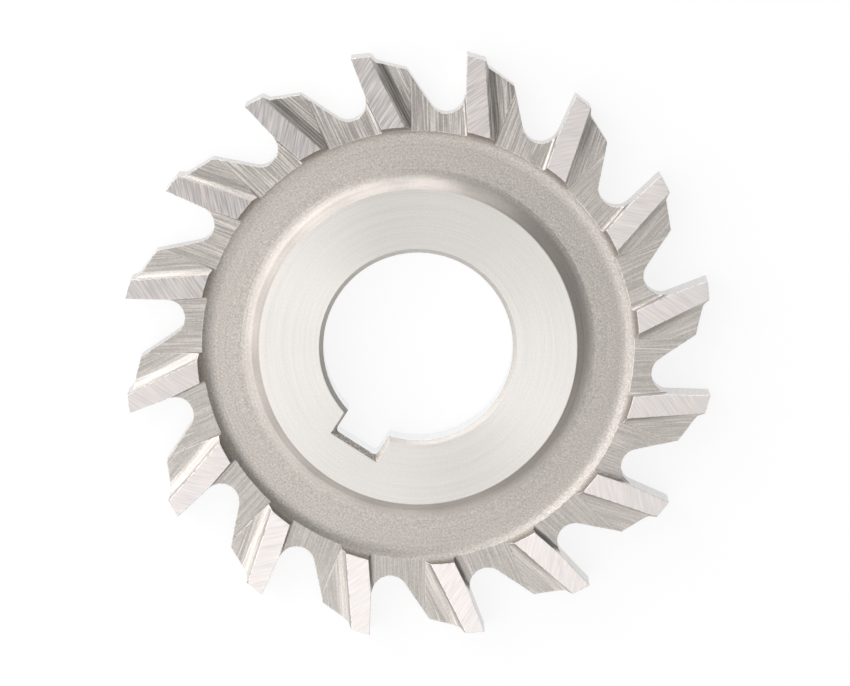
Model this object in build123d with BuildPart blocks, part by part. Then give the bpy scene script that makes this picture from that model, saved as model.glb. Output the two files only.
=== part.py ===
"""Side and face milling cutter, straight toothed, 50 x 4 x 16 mm, turned and ground from one
piece of high-speed steel.

The bore's axis is Z and the origin is where that axis meets the lower face, so the cutter lies
flat on its hub. Both faces are alike: the upper half is modelled and mirrored about the middle.

A tooth is described in its own frame, with its tip on +Y. Seen from above, the tooth leads to
the left of its tip and its back trails away clockwise, to the right. A line's angle is the one,
in degrees, between the line going inwards and the tooth's own radius, positive clockwise.
"""

import os
from math import cos, pi, radians, sin, sqrt, tan

from build123d import *

# Body
outside_diameter = 50.0
width = 4.0
hub_diameter = 27.0
hub_edge_break = 0.08

# Bore and keyway
bore_diameter = 16.0
bore_chamfer = 0.35
bore_chamfer_angle = 45.0
keyway_width = 4.1  # a 4 mm key's, with its clearance
keyway_reach = 17.75  # from the keyway's bottom to the far side of the bore
keyway_corner_radius = 0.4
keyway_left_chamfer = 0.2
keyway_right_chamfer = 0.3
keyway_bottom_chamfer = 0.4

# Turned recess between the hub and the toothed ring, deepest at the ring
recess_share = 0.45  # of the distance from the hub to the rim
recess_depth = 1.25
recess_flank_angle = 50.0  # of the hub's flank, from level
recess_floor_angle = 2.2  # what the floor falls towards the ring
recess_hub_radius = 1.27
recess_rim_radius = 1.5

# Teeth and the gullets between them. A share is of the spacing from tip to tip along the rim.
tooth_count = 16
tooth_phase = 0.7  # from the keyway's centre line back to the nearest tip
rake_angle = 7.8
rake_share = 0.367
rake_ledge = 0.07  # what the rake face is ground below the gullet's wall
land_angle = 83.0
land_share = 0.166
land_step_angle = 30.0
land_step_share = 0.0693
land_step_radius = 0.35
heel_angle = 63.7
heel_share = 0.271
back_angle = 21.0
gullet_wall_angle = -5.0
gullet_radius_share = 0.158

# Side teeth: land, the relief ground behind it, and the gullet in front of it
side_land_angle = 13.3
side_land_inset = 0.135  # what the side land is narrower than the rim's at the corner
side_land_relief_angle = 4.0
side_relief_depth = 0.77
side_relief_wall_angle = 34.0
side_relief_radius = 1.4
side_relief_share = 0.255
side_gullet_depth = 0.85
side_gullet_share = 0.479
side_gullet_wall_angle = 6.0
side_gullet_radius = 0.3  # at the foot of the side rake face
side_rake_angle = 13.4
side_heel_angle = 10.0

run_out = 1.0  # how far a cut starts outside the metal

outside_radius = outside_diameter / 2
bore_radius = bore_diameter / 2
keyway_bottom = bore_radius - keyway_reach
hub_radius = hub_diameter / 2
ring_inner_radius = hub_radius + recess_share * (outside_radius - hub_radius)
middle = width / 2
pitch = 360 / tooth_count
tooth_spacing = pi * outside_diameter / tooth_count
rake_depth = rake_share * tooth_spacing
land_width = land_share * tooth_spacing
gullet_radius = gullet_radius_share * tooth_spacing


def inwards(start, angle, length):
    """The point that lies a length from start along a line at that angle."""
    return start + Vector(sin(radians(angle)), -cos(radians(angle))) * length


def meeting(start, angle, other_start, other_angle):
    """The point where two lines meet."""
    gap = other_start - start
    across = gap.X * cos(radians(other_angle)) + gap.Y * sin(radians(other_angle))
    return inwards(start, angle, across / sin(radians(angle - other_angle)))


def next_tooth(point):
    """The same point on the next tooth, one pitch clockwise."""
    return point.rotate(Axis.Z, -pitch)


# Corners of the recess. The arc to the ring runs out that far before it has climbed the depth.
recess_floor = width - recess_depth
recess_end = ring_inner_radius - sqrt(recess_depth * (2 * recess_rim_radius - recess_depth))
hub_edge = Vector(hub_radius, width - hub_edge_break)
floor_end = Vector(recess_end, recess_floor)
flank_foot = meeting(hub_edge, 90 - recess_flank_angle, floor_end, 90 - recess_floor_angle)

# Corners of one tooth
tip = Vector(0, outside_radius)
rake_foot = inwards(tip, rake_angle, rake_depth)
gullet_top = inwards(rake_foot, rake_angle - 90, rake_ledge)
land_end = inwards(tip, land_angle, land_width)
step_foot = inwards(land_end, land_step_angle, land_step_share * tooth_spacing)
heel = inwards(step_foot, heel_angle, heel_share * tooth_spacing)
gullet_root = meeting(heel, back_angle, next_tooth(gullet_top), gullet_wall_angle - pitch)

# What is milled out between two teeth, from face to face
with BuildPart() as tooth_space:
    with BuildSketch(Plane.XY.offset(middle)) as space_outline:
        with BuildLine():
            Polyline(
                tip,
                land_end,
                step_foot,
                heel,
                gullet_root,
                next_tooth(gullet_top),
                next_tooth(rake_foot),
                next_tooth(tip),
                next_tooth(tip + Vector(0, run_out)),
                tip + Vector(0, run_out),
                close=True,
            )
        make_face()
        for corner, radius in ((step_foot, land_step_radius), (gullet_root, gullet_radius)):
            fillet(space_outline.vertices().sort_by_distance(corner)[0], radius)
    extrude(amount=middle + run_out)

# The side gullet in front of a tooth: a flat floor between the side rake face and the heel of
# the tooth before
outwards_reach = rake_depth + run_out
inwards_reach = outside_radius - rake_depth - recess_end + run_out
side_heel = inwards(rake_foot, side_heel_angle - 90, side_gullet_share * tooth_spacing)

side_rake_foot = inwards(rake_foot, side_rake_angle, inwards_reach / 2) + Vector(0, 0, width - side_gullet_depth)

with BuildPart() as side_gullet:
    with BuildSketch(Plane.XY.offset(width)):
        with BuildLine():
            Polyline(
                inwards(rake_foot, side_rake_angle, -outwards_reach),
                inwards(rake_foot, side_rake_angle, inwards_reach),
                inwards(side_heel, side_heel_angle, inwards_reach),
                inwards(side_heel, side_heel_angle, -outwards_reach),
                close=True,
            )
        make_face()
    extrude(amount=-side_gullet_depth, taper=side_gullet_wall_angle)
    floor_edges = side_gullet.edges().group_by(Axis.Z)[0]
    fillet(floor_edges.sort_by_distance(side_rake_foot)[0], side_gullet_radius)

# The side land's own relief: a wedge that falls away behind the rake face
along_rake = inwards(Vector(), rake_angle, 1)
land_cover = 2 * land_width
ring_reach = outside_radius - recess_end + 2 * run_out

with BuildPart() as side_land:
    land_start = inwards(tip, rake_angle, -run_out) + Vector(0, 0, width)
    land_section = Plane(land_start, x_dir=along_rake.rotate(Axis.Z, 90), z_dir=along_rake)
    with BuildSketch(land_section):
        with BuildLine():
            Polyline(
                (0, 0),
                (land_cover, -land_cover * tan(radians(side_land_relief_angle))),
                (land_cover, run_out),
                (0, run_out),
                close=True,
            )
        make_face()
    extrude(amount=ring_reach)

# The relief behind the side land: a steep wall, its fillet, and a floor that sinks to the level
# of the side gullet
along_land = inwards(Vector(), side_land_angle, 1)
side_relief_width = side_relief_share * tooth_spacing
wall_foot = side_relief_depth * tan(radians(side_relief_wall_angle))

with BuildPart() as side_relief:
    side_land_end = inwards(land_end, side_land_angle - 90, side_land_inset)
    relief_start = inwards(side_land_end, side_land_angle, -run_out) + Vector(0, 0, width)
    relief_section = Plane(relief_start, x_dir=along_land.rotate(Axis.Z, 90), z_dir=along_land)
    with BuildSketch(relief_section) as relief_outline:
        with BuildLine():
            Polyline(
                (0, run_out),
                (0, 0),
                (wall_foot, -side_relief_depth),
                (side_relief_width, -side_gullet_depth),
                (side_relief_width, run_out),
                close=True,
            )
        make_face()
        foot = Vector(wall_foot, -side_relief_depth)
        fillet(relief_outline.vertices().sort_by_distance(foot)[0], side_relief_radius)
    extrude(amount=ring_reach)

with BuildPart() as cutter_body:
    # Upper half of the turned blank
    with BuildSketch(Plane.XZ) as blank_outline:
        with BuildLine():
            Polyline(
                floor_end,
                flank_foot,
                hub_edge,
                (hub_radius - hub_edge_break, width),
                (bore_radius + bore_chamfer, width),
                (bore_radius, width - bore_chamfer),
                (bore_radius, middle),
                (outside_radius, middle),
                (outside_radius, width),
                (ring_inner_radius, width),
            )
            TangentArc(
                floor_end,
                (ring_inner_radius, width),
                tangent=(floor_end - flank_foot).normalized(),
            )
        make_face()
        foot = blank_outline.vertices().sort_by_distance(flank_foot)[0]
        fillet(foot, recess_hub_radius)
    revolve(axis=Axis.Z)

    # Keyway, with rounded corners, and the chamfer round its mouth
    with BuildSketch(Plane.XY.offset(middle)) as keyway:
        with Locations((0, keyway_bottom)):
            Rectangle(keyway_width, -keyway_bottom, align=(Align.CENTER, Align.MIN))
        bottom_corners = keyway.vertices().group_by(Axis.Y)[0]
        fillet(bottom_corners, keyway_corner_radius)
    extrude(amount=middle, mode=Mode.SUBTRACT)
    with BuildSketch(Plane.XY.offset(width)):
        mouth_middle = (keyway_right_chamfer - keyway_left_chamfer) / 2
        with Locations((mouth_middle, keyway_bottom - keyway_bottom_chamfer)):
            Rectangle(
                keyway_width + keyway_left_chamfer + keyway_right_chamfer,
                -keyway_bottom,
                align=(Align.CENTER, Align.MIN),
            )
    extrude(amount=-keyway_bottom_chamfer, taper=bore_chamfer_angle, mode=Mode.SUBTRACT)

    # Teeth
    with PolarLocations(0, tooth_count, start_angle=tooth_phase):
        add(tooth_space.part, mode=Mode.SUBTRACT)
        add(side_gullet.part, mode=Mode.SUBTRACT)
        add(side_land.part, mode=Mode.SUBTRACT)
        add(side_relief.part, mode=Mode.SUBTRACT)

    # Lower half
    mirror(about=Plane.XY.offset(middle))

cutter_body.part.label = "cutter_body"

os.makedirs("parts", exist_ok=True)
export_step(cutter_body.part, "parts/cutter_body.step")
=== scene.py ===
"""Looks of the side and face cutter: its steel finishes, a white table, soft light and the camera.

Lengths in the materials are millimetres. A tooth's own frame has its tip on +Y and x clockwise.
"""

from math import cos, pi, radians, sin, tan

import bpy
import numpy as np
from bpy.props import FloatProperty, FloatVectorProperty, PointerProperty
from mathutils import Matrix, Vector

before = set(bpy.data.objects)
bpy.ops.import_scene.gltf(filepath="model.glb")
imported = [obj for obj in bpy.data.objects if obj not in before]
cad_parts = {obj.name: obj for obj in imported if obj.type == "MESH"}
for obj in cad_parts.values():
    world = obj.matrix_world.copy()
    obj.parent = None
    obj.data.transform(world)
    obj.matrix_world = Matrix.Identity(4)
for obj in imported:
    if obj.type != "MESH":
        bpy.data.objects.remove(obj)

bl_info = {
    "name": "Side and Face Cutter",
    "version": (1, 0, 0),
    "blender": (4, 5, 0),
    "location": "View3D > Sidebar > Cutter",
    "description": "Finishes a milling cutter's solid and sets it on a lit white table",
    "category": "Object",
}

BODY = "cutter_body"

# Places of the solid's surfaces: radii and heights in millimetres, angles in degrees
MIDDLE = 2.0
HUB_EDGE = 13.46
HUB_FACE = 1.99  # over the middle
LAND_FACE = 1.8  # over the middle, at its lowest
RECESS_END = 17.6
RIM_END = 18.75
KEYWAY_BOTTOM = -9.3  # y, where the chamfer of the keyway's bottom begins
TEETH = 16
PITCH = 360 / TEETH
TOOTH_START = 0.7
SIDE_LAND_ANGLE = 13.6
GULLET_ANGLE = 11.0
LAND_LINES_ANGLE = 46

# The crease between a relief and the next gullet: how far it lies across from the tip's radius where
# that is CREASE_RADIUS from the axis, and how it leans
CREASE_RADIUS = 18
CREASE_ACROSS = 3.5
CREASE_ANGLE = 12.5

# One tooth's pattern ends and the next one's begins up the wall of the side rake face: its degrees
# clockwise of the tip at BORDER_RADIUS, and what they gain a millimetre inwards
BORDER_RADIUS = 21
BORDER_PAST_TIP = 1.5
BORDER_GAIN = 0.5185

# Where a surface counts as level, upright, leaning in or turned to the side, from its true normal
LEVEL = 0.9
UPRIGHT = 0.15
LEANING_IN = 0.05
SIDEWAYS = 0.12

# Where round the disc the marks are coarsest, in degrees clockwise from the far side of the keyway,
# the cosines between which they grow coarser, and how many times
# Where the gain is raised, relief and gullet steel also comes out darker, since their fine marks lie mostly
# below one half
COARSEST = {
    "relief": (-30, 0.6, 0.93, 2.8),
    "gullet": (-55, 0.3, 0.95, 2.2),
    "land": (-66, 0.5, 0.92, 3.2),
}

# Patterns, in features a millimetre. The blasting grain is real, 0.15 mm; the others are coarser than
# real tool marks, which are too fine to show.
RINGS = 7.0
RING_DRIFT = 0.012  # a degree
GRAIN = 6.5
WALL_MARKS = (6.0, 6.0, 0.9)
BORE_MARKS = (4.0, 4.0, 0.4)
BURR_AND_HIGHLIGHT_DASHES = 3.0

# Roughness of each finish: ground steel is the smoothest, blasted and rough-turned steel the dullest
GROUND_ROUGHNESS = 0.3
LAND_ROUGHNESS = 0.28
MILLED_ROUGHNESS = 0.36
WALL_ROUGHNESS = 0.34
BORE_ROUGHNESS = 0.3
RECESS_ROUGHNESS = 0.4
FLANK_ROUGHNESS = 0.52
CHAMFER_ROUGHNESS = 0.5
HUB_RIM_ROUGHNESS = 0.5

# Smaller finishes, and the colours of painted light and shade: the flank's painted light, the edges' painted
# highlight, the corners' painted shade and the hub rim's painted shade
FLANK_LIGHT_COLOUR = "CFCAC6"
FLECK_COLOUR = "D6D0CA"
LAND_COLOURS = ("D3CECC", "D4CDCA")
SCORE_COLOUR = "D4CEC8"
WALL_COLOUR = "D8D6D4"
BORE_COLOUR = "F1F2F3"
BORE_CHAMFER_COLOUR = "BBB6B1"
KEYWAY_CHAMFER_COLOUR = "A8A29D"
SPECK_COLOUR = "E4DED8"
BURR_AND_HIGHLIGHT_COLOURS = ("8E8882", "F4F1EE")
CORNER_SHADE_COLOUR = "6E6862"
HUB_RIM_SHADE_COLOUR = "BCB6B0"

# The camera: turn, lean and tilt in degrees, lens and sensor in millimetres, and its place in its own
# axes, in metres from the middle of the upper face
VIEW_TURN = 32.7
VIEW_LEAN = 7.97
VIEW_TILT = -0.15
VIEW_PLACE = (0.000586, 0.000362, 0.5)
UPPER_FACE = 0.004
LENS = 251.41
SENSOR = 36

# A tent of soft panels: elevation, panel size, first azimuth, and the level of each panel round the
# ring. It is brightest low at the upper left and left open at the upper right.
PANEL_DISTANCE = 0.3
TENT = (
    (8, (0.23, 0.09), 0, (3.71, 0, 0, 0, 0.95, 0.71, 1.75, 2.35)),
    (28, (0.2, 0.11), 0, (0.79, 0, 0.1, 1.0, 0.83, 1.71, 2.04, 2.51)),
    (52, (0.18, 0.13), 0, (0.55, 0, 0.75, 0.78, 0.96, 1.67)),
    (74, (0.12, 0.1), 30, (0.65, 0.78, 1.22, 0.66)),
)

# Radius and height of the white cards, in metres. They lie a hair under the cutter.
CARD_LEVEL = -0.00001
TABLE_PROFILE = ((0.0, CARD_LEVEL), (0.3, CARD_LEVEL), (1.5, CARD_LEVEL))
BACKDROP_PROFILE = ((1.5, CARD_LEVEL), (1.55, 0.015), (1.6, 0.15))
CARD_SIDES = 96

# How far the cards light themselves, and between which distances from the cutter it rises to all
CARD_SHARE = 0.84
CARD_RISE = (0.03, 0.15)


def linear(hex_colour):
    """A sRGB hex colour as the linear colour that a shader takes, with alpha."""
    parts = [int(hex_colour[i : i + 2], 16) / 255 for i in (0, 2, 4)]
    return (*(c / 12.92 if c <= 0.04045 else ((c + 0.055) / 1.055) ** 2.4 for c in parts), 1.0)


def add(tree, kind, *values, out=0, **settings):
    """A new node. Values go to its inputs in order: a number, a colour, another's output, or None."""
    node = tree.nodes.new("ShaderNode" + kind)
    for name, value in settings.items():
        setattr(node, name, value)
    for socket, value in zip(node.inputs, values):
        if isinstance(value, bpy.types.NodeSocket):
            tree.links.new(value, socket)
        elif value is not None:
            socket.default_value = value
    return node.outputs[out] if node.outputs else None


def new_material(name):
    """An empty node material."""
    material = bpy.data.materials.new(name)
    material.use_nodes = True
    material.node_tree.nodes.clear()
    return material


class CutterFinishSettings(bpy.types.PropertyGroup):
    """Colours and tool marks of the steel."""

    ground_colour: FloatVectorProperty(
        name="Ground steel",
        description="Hub faces, straight from the grinding wheel",
        subtype="COLOR",
        size=4,
        min=0,
        max=1,
        default=linear("D9D5D1"),
    )
    recess_colour: FloatVectorProperty(
        name="Recess",
        description="Turned recess, dulled by blasting after hardening",
        subtype="COLOR",
        size=4,
        min=0,
        max=1,
        default=linear("BAB4AE"),
    )
    milled_colour: FloatVectorProperty(
        name="Milled steel",
        description="Side gullets and reliefs, left as the mill cut them",
        subtype="COLOR",
        size=4,
        min=0,
        max=1,
        default=linear("B9B3AE"),
    )
    # Real grinding and milling lines lie about 0.03 mm apart. These are drawn coarser, so that they show.
    grinding_spacing: FloatProperty(
        name="Grinding lines",
        description="Distance between grinding lines on the lands",
        subtype="DISTANCE",
        precision=5,
        default=0.00013,
        min=0.00002,
        max=0.001,
    )
    milling_spacing: FloatProperty(
        name="Milling lines",
        description="Distance between tool marks in the side gullets and reliefs",
        subtype="DISTANCE",
        precision=5,
        default=0.00012,
        min=0.00002,
        max=0.001,
    )
    edge_break: FloatProperty(
        name="Edge break",
        description="Radius that sharp edges are worn to",
        subtype="DISTANCE",
        precision=5,
        default=0.00008,
        min=0,
        max=0.0005,
    )


class CutterStageSettings(bpy.types.PropertyGroup):
    """Table and room light."""

    room_level: FloatProperty(
        name="Room light",
        description="Level of the even light from all round",
        default=0.17,
        min=0,
        max=2,
    )
    table_colour: FloatVectorProperty(
        name="Table",
        description="Colour of the white table",
        subtype="COLOR",
        size=4,
        min=0,
        max=1,
        default=linear("F6F6F6"),
    )


def between(tree, value, low, high, first=0.0, last=1.0):
    """A change from first to last, as the value goes from low to high."""
    return add(tree, "MapRange", value, low, high, first, last)


def above(tree, value, limit):
    """1 where the value is over the limit, else 0."""
    return add(tree, "Math", value, limit, operation="GREATER_THAN")


def both(tree, *masks):
    """1 where every mask is 1."""
    found = masks[0]
    for mask in masks[1:]:
        found = add(tree, "Math", found, mask, operation="MULTIPLY")
    return found


def inverse(tree, mask):
    """1 where the mask is 0, and 0 where it is 1."""
    return add(tree, "Math", 1.0, mask, operation="SUBTRACT")


def mixed(tree, mask, first, second):
    """A blend by a mask, of colours or of plain numbers."""
    first, second = ((v,) * 3 + (1.0,) if isinstance(v, float) else v for v in (first, second))
    return add(tree, "MixRGB", mask, first, second)


def blended(tree, mask, first, second):
    """Two looks blended by a mask."""
    return tuple(mixed(tree, mask, a, b) for a, b in zip(first, second))


def shaded(tree, colour, pattern, depth):
    """A colour made lighter and darker by a pattern that lies about one half."""
    if not isinstance(colour, bpy.types.NodeSocket):
        colour = tuple(colour)[:3]
    level = add(tree, "Math", pattern, depth, 1 - depth / 2, operation="MULTIPLY_ADD")
    return add(tree, "VectorMath", colour, None, None, level, operation="SCALE")


def wide(tree, pattern, low=0.3, high=0.7):
    """A noise, which keeps near one half, stretched to fill the range from 0 to 1."""
    return between(tree, pattern, low, high)


def stronger(tree, pattern, gain):
    """A pattern with its contrast raised about one half."""
    centred = add(tree, "Math", pattern, 0.5, operation="SUBTRACT")
    return add(tree, "Math", centred, gain, 0.5, operation="MULTIPLY_ADD")


def heights(tree, *pairs):
    """The sum of patterns, each times its height in millimetres."""
    total = 0.0
    for pattern, size in pairs:
        total = add(tree, "Math", pattern, size, total, operation="MULTIPLY_ADD")
    return total


def tooth_places(tree):
    """Where a point lies on the disc and in its tooth's frame, and which way its surface faces."""
    at = add(tree, "VectorMath", add(tree, "TexCoord", out=3), None, None, 1000.0, operation="SCALE")
    x = add(tree, "SeparateXYZ", at)
    y, z = x.node.outputs[1], x.node.outputs[2]
    flat = add(tree, "CombineXYZ", x, y, 0.0)
    radius = add(tree, "VectorMath", flat, operation="LENGTH", out=1)
    height = add(tree, "Math", add(tree, "Math", z, MIDDLE, operation="SUBTRACT"), operation="ABSOLUTE")

    # The tooth that a point belongs to, and the point's place in that tooth's frame
    border_start = BORDER_PAST_TIP + BORDER_GAIN * BORDER_RADIUS - TOOTH_START
    border = add(tree, "Math", radius, -BORDER_GAIN, border_start, operation="MULTIPLY_ADD")
    turn = add(tree, "Math", add(tree, "Math", x, y, operation="ARCTAN2"), operation="DEGREES")
    past = add(tree, "Math", turn, border, operation="SUBTRACT")
    count = add(tree, "Math", add(tree, "Math", past, PITCH, operation="DIVIDE"), operation="FLOOR")
    own = add(tree, "Math", count, -PITCH, turn, operation="MULTIPLY_ADD")
    own = add(tree, "Math", add(tree, "Math", own, TOOTH_START, operation="ADD"), operation="RADIANS")
    across = add(tree, "Math", add(tree, "Math", own, operation="SINE"), radius, operation="MULTIPLY")
    up = add(tree, "Math", add(tree, "Math", own, operation="COSINE"), radius, operation="MULTIPLY")

    # How level the surface is, how far it faces the rim, and how far it faces round the disc
    facing = add(tree, "NewGeometry", out=3)
    level = add(tree, "Math", add(tree, "SeparateXYZ", facing, out=2), operation="ABSOLUTE")
    outwards = add(tree, "VectorMath", flat, operation="NORMALIZE")
    outward = add(tree, "VectorMath", outwards, facing, operation="DOT_PRODUCT", out=1)
    round_way = add(tree, "VectorMath", flat, (0.0, 0.0, 1.0), operation="CROSS_PRODUCT")
    round_way = add(tree, "VectorMath", round_way, operation="NORMALIZE")
    swing = add(tree, "VectorMath", round_way, facing, operation="DOT_PRODUCT", out=1)
    swing = add(tree, "Math", swing, operation="ABSOLUTE")

    # How strong the marks are, 1 on most teeth
    gains = {}
    for surface, (place, start, full, gain) in COARSEST.items():
        way = (sin(radians(place)), cos(radians(place)), 0.0)
        near = add(tree, "VectorMath", outwards, way, operation="DOT_PRODUCT", out=1)
        gains[surface] = between(tree, near, start, full, 1.0, gain)
    return {
        "at": at,
        "y": y,
        "radius": radius,
        "height": height,
        "turn": turn,
        "count": count,
        "across": across,
        "up": up,
        "facing": facing,
        "level": level,
        "outwards": outwards,
        "outward": outward,
        "swing": swing,
        "gains": gains,
    }


def zones(tree, p):
    """Masks of the finishes, each 1 on its own surfaces and 0 elsewhere."""
    outside_hub = above(tree, p["radius"], HUB_EDGE)
    inside_hub = inverse(tree, outside_hub)
    flat = above(tree, p["level"], LEVEL)
    upright = inverse(tree, above(tree, p["level"], UPRIGHT))
    hub = both(tree, inside_hub, above(tree, p["height"], HUB_FACE), flat)
    bore = both(tree, inside_hub, upright)
    chamfer = both(tree, inside_hub, inverse(tree, hub), inverse(tree, upright))

    # The recess runs up to the foot of the teeth, over its own curved wall
    leans_in = above(tree, add(tree, "Math", 0.0, p["outward"], operation="SUBTRACT"), LEANING_IN)
    before_rim = inverse(tree, above(tree, p["radius"], RIM_END))
    not_aside = inverse(tree, above(tree, p["swing"], SIDEWAYS))
    rim_wall = both(tree, leans_in, before_rim, not_aside)
    ring = both(tree, above(tree, p["radius"], RECESS_END), inverse(tree, rim_wall))
    recess = both(tree, outside_hub, inverse(tree, ring))
    land = both(tree, ring, flat, above(tree, p["height"], LAND_FACE))
    wall = both(tree, ring, upright)

    lean = tan(radians(CREASE_ANGLE))
    crease_start = CREASE_RADIUS * lean - CREASE_ACROSS
    crease = add(tree, "Math", p["up"], -lean, crease_start, operation="MULTIPLY_ADD")
    gullet = above(tree, add(tree, "Math", p["across"], crease, operation="ADD"), 0.0)
    return {
        "hub": hub,
        "bore": bore,
        "chamfer": chamfer,
        "recess": recess,
        "land": land,
        "wall": wall,
        "gullet": gullet,
    }


def lines(tree, p, angle, spacing, length, detail=2.0, roughness=0.6, seed=0.0):
    """Noise drawn out along a direction: angle clockwise from the tooth's radius, in degrees."""
    lean = radians(angle)
    side_up = add(tree, "Math", p["up"], -sin(lean), operation="MULTIPLY")
    side = add(tree, "Math", p["across"], cos(lean), side_up, operation="MULTIPLY_ADD")
    along_up = add(tree, "Math", p["up"], cos(lean), operation="MULTIPLY")
    along = add(tree, "Math", p["across"], sin(lean), along_up, operation="MULTIPLY_ADD")
    side = add(tree, "Math", side, 1 / spacing, operation="MULTIPLY")
    along = add(tree, "Math", along, 1 / length, operation="MULTIPLY")
    # Each tooth has lines of its own
    own = add(tree, "Math", p["count"], 7.3, seed, operation="MULTIPLY_ADD")
    return add(tree, "TexNoise", add(tree, "CombineXYZ", side, along, own), None, 1.0, detail, roughness)


def ground_look(tree, p, s, rings, grain):
    """Hub face: colour, roughness and relief of face-ground steel with rings round the bore."""
    colour = shaded(tree, s.ground_colour, wide(tree, rings), 0.1)
    colour = shaded(tree, colour, wide(tree, grain), 0.1)
    return colour, GROUND_ROUGHNESS, heights(tree, (rings, 0.006), (grain, 0.002))


def recess_look(tree, p, s, rings, grain):
    """Turned recess, blasted after hardening: a fine grain over faint rings, with a few light flecks."""
    # The grain is calmer in the fillet at the hub's foot
    fillet = between(tree, p["radius"], 14.5, 15.0, 0.3, 0.0)
    grain = mixed(tree, fillet, grain, 0.5)
    colour = shaded(tree, s.recess_colour, wide(tree, grain), 0.54)
    colour = shaded(tree, colour, wide(tree, rings), 0.12)
    colour = mixed(tree, between(tree, grain, 0.66, 0.74), colour, linear(FLECK_COLOUR))
    # The hub's flank is painted a little lighter than the floor as painted light, and it is duller
    below_edge = between(tree, p["radius"], 13.5, 13.65)
    painted_flank_light = both(tree, below_edge, between(tree, p["radius"], 14.0, 14.6, 0.5, 0.0))
    colour = mixed(tree, painted_flank_light, colour, linear(FLANK_LIGHT_COLOUR))
    rough = between(tree, p["radius"], 14.4, 15.1, FLANK_ROUGHNESS, RECESS_ROUGHNESS)
    return colour, rough, heights(tree, (grain, 0.034), (rings, 0.014))


def land_look(tree, p, s, rings, grain):
    """Ground lands: fine and broad lines slanting across them, in two close tints."""
    spacing = s.grinding_spacing * 1000
    fine = wide(tree, lines(tree, p, LAND_LINES_ANGLE, spacing, 2.5, 1.0))
    broad = lines(tree, p, LAND_LINES_ANGLE, spacing * 3, 2.5, 1.0, 0.5, seed=17.0)
    colour = mixed(tree, between(tree, broad, 0.42, 0.58), *(linear(c) for c in LAND_COLOURS))
    colour = shaded(tree, colour, stronger(tree, fine, p["gains"]["land"]), 0.17)
    colour = shaded(tree, colour, wide(tree, broad), 0.05)
    return colour, LAND_ROUGHNESS, heights(tree, (fine, 0.003), (broad, 0.004))


def milled_look(tree, p, s, rings, grain, angle, gain, seed):
    """Milled floors: fine and broad tool marks along the cut, a few light scores, a granular surface."""
    spacing = s.milling_spacing * 1000
    fine = wide(tree, lines(tree, p, angle, spacing, 5.0, 1.5, 0.6, seed=seed), 0.42, 0.62)
    broad = wide(tree, lines(tree, p, angle, spacing * 4, 6.0, 1.0, 0.5, seed=seed + 5))
    scores = lines(tree, p, angle + 4, spacing * 1.6, 5.0, 0.0, seed=seed + 9)
    colour = shaded(tree, s.milled_colour, stronger(tree, fine, gain), 0.25)
    colour = shaded(tree, colour, stronger(tree, broad, gain), 0.06)
    colour = shaded(tree, colour, wide(tree, grain), 0.28)
    colour = mixed(tree, between(tree, scores, 0.73, 0.8), colour, linear(SCORE_COLOUR))
    return colour, MILLED_ROUGHNESS, heights(tree, (fine, 0.004), (broad, 0.004), (grain, 0.024))


def wall_look(tree, p, s, rings, grain):
    """Rake faces, backs and rim: marks across the cutter's width."""
    place = add(tree, "VectorMath", p["at"], WALL_MARKS, operation="MULTIPLY")
    marks = add(tree, "TexNoise", place, None, 1.0, 3.0, 0.65)
    colour = shaded(tree, linear(WALL_COLOUR), marks, 0.5)
    return colour, WALL_ROUGHNESS, heights(tree, (marks, 0.020), (grain, 0.008))


def bore_look(tree, p, s, rings, grain):
    """Bore and keyway walls, bright and a little blue, with faint marks along the axis."""
    place = add(tree, "VectorMath", p["at"], BORE_MARKS, operation="MULTIPLY")
    marks = add(tree, "TexNoise", place, None, 1.0, 3.0, 0.65)
    colour = shaded(tree, linear(BORE_COLOUR), marks, 0.16)
    return colour, BORE_ROUGHNESS, heights(tree, (marks, 0.008), (grain, 0.004))


def chamfer_look(tree, p, s, rings, grain):
    """Chamfers of the bore and keyway: rough turned steel, at the keyway mottled, with bright specks."""
    keyway = inverse(tree, above(tree, p["y"], KEYWAY_BOTTOM))
    bore_colour = shaded(tree, linear(BORE_CHAMFER_COLOUR), grain, 0.4)
    keyway_colour = shaded(tree, linear(KEYWAY_CHAMFER_COLOUR), wide(tree, grain), 0.9)
    colour = mixed(tree, keyway, bore_colour, keyway_colour)
    specks = both(tree, keyway, between(tree, grain, 0.56, 0.64))
    colour = mixed(tree, specks, colour, linear(SPECK_COLOUR))
    return colour, CHAMFER_ROUGHNESS, heights(tree, (grain, 0.012))


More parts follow.
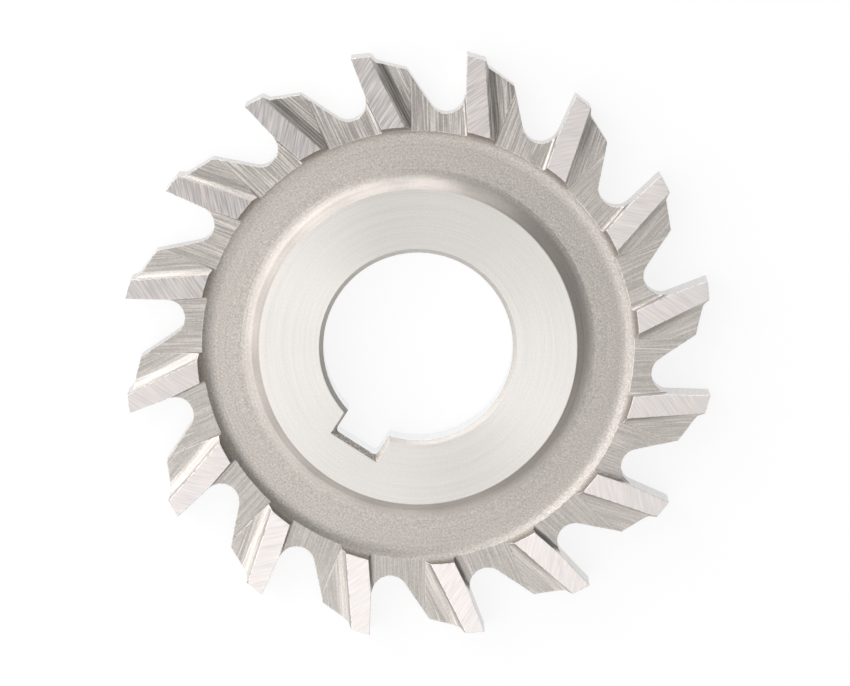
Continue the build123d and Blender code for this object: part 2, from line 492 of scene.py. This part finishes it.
def edge_wear_and_painted_light(tree, p, colour, rough, rounded):
    """Colour and roughness with the teeth's edge burrs and painted edge highlights, painted shade in their
    corners, and the hub's dull edge painted darker as shade.
    """
    on_teeth = above(tree, p["radius"], RECESS_END)
    open_sky = add(tree, "AmbientOcclusion", None, 0.0002, out=1, samples=4, only_local=True)
    # Sharp edges, where the rounded normal leaves the true one, carry a burr, bright and dark by turns; the
    # bright dashes are a painted highlight along the edges
    same = add(tree, "VectorMath", rounded, p["facing"], operation="DOT_PRODUCT", out=1)
    sharp = between(tree, same, 0.99, 0.93)
    burr_and_highlight = both(tree, sharp, between(tree, open_sky, 0.8, 0.95), on_teeth)
    dashes = add(tree, "TexNoise", p["at"], None, BURR_AND_HIGHLIGHT_DASHES, 2.0, 0.6)
    burr_and_highlight_colour = mixed(tree, between(tree, dashes, 0.4, 0.46), *(linear(c) for c in BURR_AND_HIGHLIGHT_COLOURS))
    colour = mixed(tree, burr_and_highlight, colour, burr_and_highlight_colour)
    # Corners hold a little dark oil
    # Painted shade: corners, where the surface is occluded, are darkened
    painted_corner_shade = both(tree, between(tree, open_sky, 0.75, 0.5, 0.0, 0.6), on_teeth)
    colour = mixed(tree, painted_corner_shade, colour, linear(CORNER_SHADE_COLOUR))
    # The hub's edge is duller, and painted darker as shade
    outer = above(tree, p["radius"], 13.4)
    inner = inverse(tree, above(tree, p["radius"], 13.54))
    hub_rim_dull_and_shaded = both(tree, outer, inner, above(tree, p["height"], 1.85))
    colour = mixed(tree, hub_rim_dull_and_shaded, colour, linear(HUB_RIM_SHADE_COLOUR))
    return colour, mixed(tree, hub_rim_dull_and_shaded, rough, HUB_RIM_ROUGHNESS)


class CUTTER_OT_finish_steel(bpy.types.Operator):
    """Give the cutter its ground, turned, milled and blasted steel finishes"""

    bl_idname = "cutter.finish_steel"
    bl_label = "Finish the Steel"

    def execute(self, context):
        s = context.scene.cutter_finish
        # High-speed steel, bare: bright where it is ground, greyer where it is milled or blasted
        material = new_material("high_speed_steel_ground_and_milled")
        tree = material.node_tree
        p = tooth_places(tree)
        m = zones(tree, p)
        ring_place = add(tree, "Math", p["radius"], RINGS, operation="MULTIPLY")
        ring_drift = add(tree, "Math", p["turn"], RING_DRIFT, operation="MULTIPLY")
        round_place = add(tree, "CombineXYZ", ring_place, ring_drift, 0.0)
        rings = add(tree, "TexNoise", round_place, None, 1.0, 3.0, 0.65)
        grain = add(tree, "TexNoise", p["at"], None, GRAIN, 3.0, 0.7)
        common = (tree, p, s, rings, grain)

        relief = milled_look(*common, -SIDE_LAND_ANGLE, p["gains"]["relief"], 31.0)
        gullet = milled_look(*common, GULLET_ANGLE, p["gains"]["gullet"], 57.0)
        look = blended(tree, m["gullet"], relief, gullet)
        look = blended(tree, m["wall"], look, wall_look(*common))
        look = blended(tree, m["land"], look, land_look(*common))
        look = blended(tree, m["recess"], look, recess_look(*common))
        look = blended(tree, m["hub"], look, ground_look(*common))
        look = blended(tree, m["chamfer"], look, chamfer_look(*common))
        colour, rough, height = blended(tree, m["bore"], look, bore_look(*common))

        rounded = add(tree, "Bevel", s.edge_break, samples=4)
        colour, rough = edge_wear_and_painted_light(tree, p, colour, rough, rounded)
        bump = add(tree, "Bump", 1.0, 0.001, 0.1, height, rounded)

        surface = tree.nodes.new("ShaderNodeBsdfPrincipled")
        surface.inputs["Metallic"].default_value = 1.0
        tree.links.new(colour, surface.inputs["Base Color"])
        tree.links.new(rough, surface.inputs["Roughness"])
        tree.links.new(bump, surface.inputs["Normal"])
        # The hub's rings draw a highlight out towards the bore and the rim
        tree.links.new(p["outwards"], surface.inputs["Tangent"])
        stretch = add(tree, "Math", m["hub"], 0.8, operation="MULTIPLY")
        tree.links.new(stretch, surface.inputs["Anisotropic"])
        add(tree, "OutputMaterial", surface.outputs[0])

        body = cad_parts[BODY]
        body.material_slots[0].material = material
        return {"FINISHED"}


def softbox(name, azimuth, elevation, distance, size, radiance):
    """An area lamp that faces the cutter. Azimuth is clockwise from the photograph's up."""
    turned = radians(azimuth - VIEW_TURN)
    up = radians(elevation)
    back = Vector((sin(turned) * cos(up), cos(turned) * cos(up), sin(up)))
    lamp = bpy.data.lights.new(name, "AREA")
    lamp.shape = "RECTANGLE"
    lamp.size, lamp.size_y = size
    lamp.energy = radiance * 4 * size[0] * size[1]
    box = bpy.data.objects.new(name, lamp)
    bpy.context.scene.collection.objects.link(box)
    box.location = back * distance
    box.rotation_mode = "QUATERNION"
    box.rotation_quaternion = back.to_track_quat("Z", "Y")


def card_dish(name, profile, material):
    """A round card: point (angle, step) lies at the step's radius and height, turned by the angle about Z."""
    angle = np.arange(CARD_SIDES) * 2 * pi / CARD_SIDES
    radius, height = np.array(profile).T
    x = np.outer(radius, np.cos(angle))
    y = np.outer(radius, np.sin(angle))
    z = np.repeat(height, CARD_SIDES).reshape(-1, CARD_SIDES)
    points = np.stack([x, y, z], axis=-1).reshape(-1, 3)
    rows = np.arange(len(profile) - 1) * CARD_SIDES
    ring, step = np.meshgrid(rows, np.arange(CARD_SIDES), indexing="ij")
    after = (step + 1) % CARD_SIDES
    corners = [ring + step, ring + CARD_SIDES + step, ring + CARD_SIDES + after, ring + after]
    faces = np.stack(corners, axis=-1).reshape(-1, 4)
    mesh = bpy.data.meshes.new(name)
    mesh.from_pydata(points.tolist(), [], faces.tolist())
    mesh.materials.append(material)
    mesh.validate()
    card = bpy.data.objects.new(name, mesh)
    bpy.context.scene.collection.objects.link(card)
    return card


def white_card(colour):
    """Matt white card, lighting itself for the camera and for reflections, wholly so away from the cutter.

    The share that stays plain card near the cutter keeps the cutter's soft shadow.
    """
    material = new_material("white_card")
    tree = material.node_tree
    ray = add(tree, "LightPath")
    seen = add(tree, "Math", ray, ray.node.outputs["Is Glossy Ray"], operation="MAXIMUM")
    seen = add(tree, "Math", seen, ray.node.outputs["Is Transmission Ray"], operation="MAXIMUM")
    away = add(tree, "VectorMath", add(tree, "TexCoord", out=3), operation="LENGTH", out=1)
    share = add(tree, "Math", seen, between(tree, away, *CARD_RISE, CARD_SHARE, 1.0), operation="MULTIPLY")
    card = add(tree, "BsdfDiffuse", colour)
    white = add(tree, "Emission", (1, 1, 1, 1), 1.0)
    add(tree, "OutputMaterial", add(tree, "MixShader", share, card, white))
    return material


class CUTTER_OT_set_stage(bpy.types.Operator):
    """Lay the white table and set the soft lights round it"""

    bl_idname = "cutter.set_stage"
    bl_label = "Set the Stage"

    def execute(self, context):
        s = context.scene.cutter_stage
        world = bpy.data.worlds.new("even_room_light")
        world.use_nodes = True
        context.scene.world = world
        room = world.node_tree.nodes["Background"]
        room.inputs["Color"].default_value = (1, 1, 1, 1)
        room.inputs["Strength"].default_value = s.room_level
        for elevation, size, first, levels in TENT:
            for step, level in enumerate(levels):
                azimuth = first + step * 360 / len(levels)
                if level:
                    name = f"panel_{elevation}_{azimuth:.0f}"
                    softbox(name, azimuth, elevation, PANEL_DISTANCE, size, level)

        material = white_card(s.table_colour)
        table = card_dish("table", TABLE_PROFILE, material)
        backdrop = card_dish("backdrop", BACKDROP_PROFILE, material)
        context.scene.view_settings.view_transform = "Standard"
        return {"FINISHED"}


class CUTTER_OT_place_camera(bpy.types.Operator):
    """Put the camera where the photograph was taken"""

    bl_idname = "cutter.place_camera"
    bl_label = "Place the Camera"

    def execute(self, context):
        lean = Matrix.Rotation(radians(VIEW_TILT), 3, "Y") @ Matrix.Rotation(radians(VIEW_LEAN), 3, "X")
        turn = Matrix.Rotation(radians(VIEW_TURN), 3, "Z")
        axes = turn @ lean.transposed()
        camera = bpy.data.cameras.new("camera")
        camera.lens = LENS
        camera.sensor_width = SENSOR
        camera.clip_start = 0.01
        holder = bpy.data.objects.new("camera", camera)
        context.scene.collection.objects.link(holder)
        place = axes @ Vector(VIEW_PLACE) + Vector((0, 0, UPPER_FACE))
        holder.matrix_world = Matrix.Translation(place) @ axes.to_4x4()
        context.scene.camera = holder
        return {"FINISHED"}


class CUTTER_PT_panel(bpy.types.Panel):
    bl_label = "Side and Face Cutter"
    bl_idname = "CUTTER_PT_panel"
    bl_space_type = "VIEW_3D"
    bl_region_type = "UI"
    bl_category = "Cutter"

    def draw(self, context):
        column = self.layout.column()
        for settings in (context.scene.cutter_finish, context.scene.cutter_stage):
            for name in settings.__annotations__:
                column.prop(settings, name)
        for name in STEPS:
            column.operator("cutter." + name)


STEPS = ("finish_steel", "set_stage", "place_camera")

CLASSES = (
    CutterFinishSettings,
    CutterStageSettings,
    CUTTER_OT_finish_steel,
    CUTTER_OT_set_stage,
    CUTTER_OT_place_camera,
    CUTTER_PT_panel,
)


def register():
    for each in CLASSES:
        bpy.utils.register_class(each)
    bpy.types.Scene.cutter_finish = PointerProperty(type=CutterFinishSettings)
    bpy.types.Scene.cutter_stage = PointerProperty(type=CutterStageSettings)


def unregister():
    del bpy.types.Scene.cutter_stage
    del bpy.types.Scene.cutter_finish
    for each in reversed(CLASSES):
        bpy.utils.unregister_class(each)


def main():
    register()
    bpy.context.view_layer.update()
    for name in STEPS:
        getattr(bpy.ops.cutter, name)()


if __name__ == "__main__":
    main()
